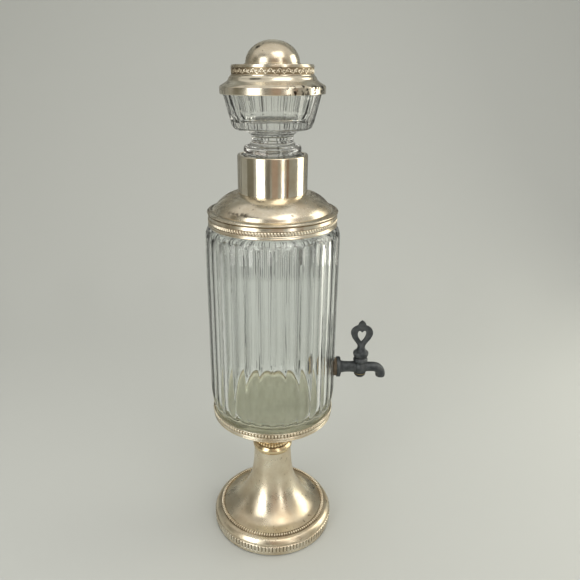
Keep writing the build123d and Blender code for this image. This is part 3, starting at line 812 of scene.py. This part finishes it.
pipe = [(2.3, shank_x), (4.8, shank_x), (4.8, flange_x - 0.1)] + rounded([
    (4.8, flange_x, 0), (9.6, flange_x), (9.6, flange_x + 3.4, 0.9), (6.4, flange_x + 4.2, 0.8),
], 0.6, 5)[1:] + smooth_run([
    (5.5, flange_x + 5.6), (5.15, flange_x + 8.0), (5.0, flange_x + 12.5), (5.3, barrel_x - 6.0),
    (5.3, barrel_x - 3.0),
], 4) + [(2.3, barrel_x - 3.0)]
pewter(lying(turned("spigot_pipe", pipe, 64)), "bottle", "spigot_body")
barrel_low, barrel_top = span("key_washer")[1] + 0.35, span("spigot_key")[0] + 19.0
barrel = [(4.6, barrel_low + 19.3), (4.0, barrel_low + 3.3)] + rounded([
    (3.9, barrel_low, 0), (5.6, barrel_low, 0.5), (5.9, barrel_low + 1.1, 0.5),
], 0.3)[1:] + smooth_run([
    (6.2, barrel_low + 2.0), (6.75, barrel_low + 5.4), (6.3, barrel_low + 8.4), (5.7, barrel_low + 9.8),
], 5) + smooth_run([
    (5.75, barrel_low + 10.6), (6.55, barrel_low + 11.7), (6.75, barrel_low + 13.1), (6.3, barrel_low + 14.6),
    (5.6, barrel_low + 15.3),
], 5) + [(4.55, barrel_low + 15.9)]
pewter(upright(turned("spigot_barrel", barrel, 64)), "bottle")
bend = 7.5
route = [(barrel_x + x, pipe_z) for x in np.linspace(3.0, spout_x - bend - barrel_x, 6)]
route += [(spout_x - bend + bend * math.sin(a), pipe_z - bend + bend * math.cos(a))
          for a in np.linspace(0.12, math.pi / 2, 14)]
route += [(spout_x, z) for z in np.linspace(pipe_z - bend - 0.25, body_low.z / MM, 3)]
widths = [(4.5 + 0.5 * max(0.0, 1 - i / 4) ** 2, 2.3) for i in range(len(route))]
widths[-3:] = [(4.5, 2.4), (4.5, 2.6), (4.2, 2.9)]
pewter(swept("spigot_spout", route, widths), "bottle")

# ---- key ----------------------------------------------------------------------------------------------
skirt_low = barrel_low + 16.4
tip = key_high.z / MM
skirt = [(0.5, skirt_low)] + smooth_run([
    (5.2, skirt_low), (6.5, skirt_low + 0.7), (7.1, skirt_low + 2.7), (6.9, skirt_low + 4.4),
    (5.6, skirt_low + 5.6),
], 5) + smooth_run([
    (4.7, skirt_low + 6.3), (4.1, skirt_low + 7.6), (3.4, skirt_low + 9.6), (2.6, skirt_low + 12.2),
    (1.8, skirt_low + 14.0), (0.5, skirt_low + 14.4),
], 4)
pewter(upright(turned("key_skirt", skirt, 64)), "key", "spigot_key")
plug = [(0.4, barrel_low - 2.9), (1.8, barrel_low - 2.9), (1.8, barrel_low - 0.3), (3.7, barrel_low - 0.3),
        (4.45, skirt_low + 0.2), (0.4, skirt_low + 0.2)]
pewter(upright(turned("key_plug", plug, 48)), "key")


def leaf_mesh():
    """Pointed leaf with rounded edges and a heart-shaped window."""
    right = smooth_run([
        (3.0, tip - 27.8), (3.2, tip - 24.6), (5.0, tip - 21.6), (8.0, tip - 17.3), (9.65, tip - 12.8),
        (8.9, tip - 9.1), (6.4, tip - 6.6), (3.9, tip - 5.4), (3.1, tip - 4.3), (2.4, tip - 2.4),
        (0.0, tip - 0.45),
    ], 6)
    outline = right + [(-x, z) for x, z in reversed(right[:-1])]
    lobe = smooth_run([
        (0.0, tip - 22.1), (2.2, tip - 19.2), (3.9, tip - 15.8), (4.35, tip - 12.5), (3.4, tip - 9.9),
        (1.7, tip - 9.5), (0.0, tip - 11.0),
    ], 6)
    window = lobe + [(-x, z) for x, z in reversed(lobe[1:-1])]
    curve = bpy.data.curves.new("leaf", "CURVE")
    curve.dimensions = "2D"
    curve.fill_mode = "BOTH"
    curve.extrude = 1.0 * MM
    curve.bevel_depth = 0.45 * MM
    curve.bevel_resolution = 3
    for line in (outline, window):
        spline = curve.splines.new("POLY")
        spline.points.add(len(line) - 1)
        for point, (x, z) in zip(spline.points, line):
            point.co = (x * MM, z * MM, 0, 1)
        spline.use_cyclic_u = True
    flat = bpy.data.objects.new("leaf", curve)
    bpy.context.scene.collection.objects.link(flat)
    bpy.context.view_layer.update()
    mesh = bpy.data.meshes.new_from_object(flat.evaluated_get(bpy.context.evaluated_depsgraph_get()))
    bpy.data.objects.remove(flat)
    mesh.transform(Matrix.Translation((barrel_x * MM, 0, 0)) @ Matrix.Rotation(math.pi / 2, 4, "X"))
    mesh.shade_smooth()
    mesh.set_sharp_from_angle(angle=math.radians(40))
    thing = bpy.data.objects.new("key_leaf", mesh)
    bpy.context.scene.collection.objects.link(thing)
    return thing


pewter(leaf_mesh(), "key")

# ---- CAD nodes that stay, with their materials --------------------------------------------------------
for node, material in {
    "felt_pad": FELT, "base_plate": TIN, "foot_tie_nut": BRASS, "foot_tie_washer": BRASS,
    "cup_tie_screw": BRASS, "plaster_bed": PLASTER, "cement_ring": PLASTER, "stopper_seal": SLEEVE,
    "spigot_gasket_outer": FIBRE, "spigot_gasket_inner": FIBRE,
    "spigot_washer": BRASS, "spigot_nut": BRASS, "key_washer": BRASS,
    "key_cap_nut": PEWTER,
}.items():
    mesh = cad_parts[node].data
    mesh.materials.clear()
    mesh.materials.append(material)

# ---- stage --------------------------------------------------------------------------------------------
def stage_piece(name, points, faces, colour, rough):
    """Part of the surroundings, in one plain colour."""
    mesh = bpy.data.meshes.new(name)
    mesh.from_pydata(points, [], faces)
    thing = bpy.data.objects.new(name, mesh)
    bpy.context.scene.collection.objects.link(thing)
    m = Nodes(name)
    m.shader.inputs["Base Color"].default_value = (*colour, 1)
    m.shader.inputs["Roughness"].default_value = rough
    mesh.materials.append(m.material)
    return thing


def sweep_backdrop(depth, height, radius):
    """Pale floor that curves up into a wall behind the object, in one seamless sheet."""
    line = [(-4.0, 0.0), (depth - radius, 0.0)]
    for i in range(1, 25):
        turn = math.pi / 2 * i / 24
        line.append((depth - radius + radius * math.sin(turn), radius * (1 - math.cos(turn))))
    line.append((depth, height))
    points = [(x, y, z) for y, z in line for x in (-4.0, 4.0)]
    faces = [(2 * i, 2 * i + 1, 2 * i + 3, 2 * i + 2) for i in range(len(line) - 1)]
    stage_piece("backdrop", points, faces, (0.47, 0.485, 0.465), 0.6).data.shade_smooth()


sweep_backdrop(1.3, 2.6, 0.9)


def card(name, centre, size, aim, colour):
    """Dark or pale board off camera, for the metal and the glass to reflect."""
    where, target = Vector(centre), Vector(aim)
    facing = (target - where).to_track_quat("Z", "Y")
    w, h = size[0] / 2, size[1] / 2
    corners = [where + facing @ Vector(c) for c in ((-w, -h, 0), (w, -h, 0), (w, h, 0), (-w, h, 0))]
    board = stage_piece(name, [tuple(c) for c in corners], [(0, 1, 2, 3)], colour, 0.9)
    board.visible_camera = False
    board.visible_diffuse = False
    board.visible_shadow = False
    return board


def area(name, centre, size, aim, power, colour=(1, 1, 1)):
    lamp = bpy.data.lights.new(name, "AREA")
    lamp.shape = "RECTANGLE"
    lamp.size, lamp.size_y = size
    lamp.energy = power
    lamp.color = colour
    thing = bpy.data.objects.new(name, lamp)
    thing.location = centre
    thing.rotation_mode = "QUATERNION"
    thing.rotation_quaternion = (Vector(aim) - Vector(centre)).to_track_quat("-Z", "Y")
    thing.visible_camera = False
    bpy.context.scene.collection.objects.link(thing)
    return thing


middle = (0, 0, 0.25)
area("window_left", (-0.535, -0.66, 0.38), (0.40, 0.95), middle, 3.5, (1.0, 0.99, 0.95))
area("window_right", (0.80, 0.17, 0.38), (0.42, 0.95), middle, 3.3, (1.0, 0.97, 0.85))
area("window_front", (0.48, -0.74, 0.38), (0.12, 0.95), middle, 0.95, (1.0, 0.97, 0.94))
area("ceiling", (0.45, -0.75, 1.35), (0.9, 0.8), middle, 4.2, (1.0, 0.97, 0.92))
sky = area("sky", (0, 0.3, 1.9), (2.2, 1.6), middle, 13)
sky.visible_glossy = False
sky.visible_transmission = False
card("dark_front", (-0.23, -0.87, 0.38), (0.24, 1.0), middle, (0.20, 0.19, 0.17))
card("warm_front", (0.12, -0.90, 0.38), (0.34, 1.0), middle, (0.52, 0.40, 0.34))
card("brown_right", (0.68, -0.60, 0.38), (0.13, 1.0), middle, (0.30, 0.17, 0.10))
card("dark_left", (-0.84, -0.22, 0.38), (0.42, 1.0), middle, (0.20, 0.19, 0.155))
card("dark_above", (-0.52, -0.42, 0.98), (0.42, 0.22), middle, (0.04, 0.04, 0.035))
# Dark strips (how far aside, width, grey) that the flutes pick up; the far ones stand on both sides.
FAR_STRIPS = ((0.08, 0.022, 0.10), (0.155, 0.035, 0.03), (0.24, 0.05, 0.05), (0.40, 0.08, 0.08),
              (0.62, 0.12, 0.05), (0.95, 0.16, 0.08))
NEAR_STRIPS = ((-0.16, 0.024, 0.05), (-0.105, 0.014, 0.04), (-0.066, 0.006, 0.05), (-0.052, 0.005, 0.03),
               (0.046, 0.003, 0.12), (0.061, 0.006, 0.06), (0.088, 0.010, 0.05), (0.125, 0.018, 0.05))
for side in (-1, 1):
    for away, wide, shade in FAR_STRIPS:
        card(f"strip_{side + 1}_{int(away * 100)}", (side * away, 0.62, 0.30), (wide, 1.1),
             (side * away, 0, 0.30), (shade, shade, shade))

for away, wide, shade in NEAR_STRIPS:
    card(f"near_strip_{int(away * 1000)}", (away, 0.20, 0.20), (wide, 0.38),
         (away, 0, 0.20), (shade, shade, shade))

world = bpy.data.worlds.new("world")
world.use_nodes = True
tree = world.node_tree
where = tree.nodes.new("ShaderNodeTexCoord")
split = tree.nodes.new("ShaderNodeSeparateXYZ")
fade = tree.nodes.new("ShaderNodeValToRGB")
tree.links.new(where.outputs["Generated"], split.inputs[0])
tree.links.new(split.outputs["Z"], fade.inputs["Fac"])
tree.links.new(fade.outputs["Color"], tree.nodes["Background"].inputs["Color"])
fade.color_ramp.elements[0].position = 0.05
fade.color_ramp.elements[0].color = (0.34, 0.33, 0.295, 1)
fade.color_ramp.elements[1].position = 0.9
fade.color_ramp.elements[1].color = (0.74, 0.71, 0.65, 1)
tree.nodes["Background"].inputs["Strength"].default_value = 1.0
bpy.context.scene.world = world
bpy.context.scene.view_settings.view_transform = "Standard"

# ---- camera -------------------------------------------------------------------------------------------
lens = bpy.data.cameras.new("camera")
lens.lens = 35.26
lens.sensor_width = 36
lens.shift_x = 0.03
camera = bpy.data.objects.new("camera", lens)
camera.location = (0, -0.474, 0.436)
camera.rotation_euler = (math.radians(90 - 21.28), 0, 0)
lens.clip_start = 0.01
bpy.context.scene.collection.objects.link(camera)
bpy.context.scene.camera = camera
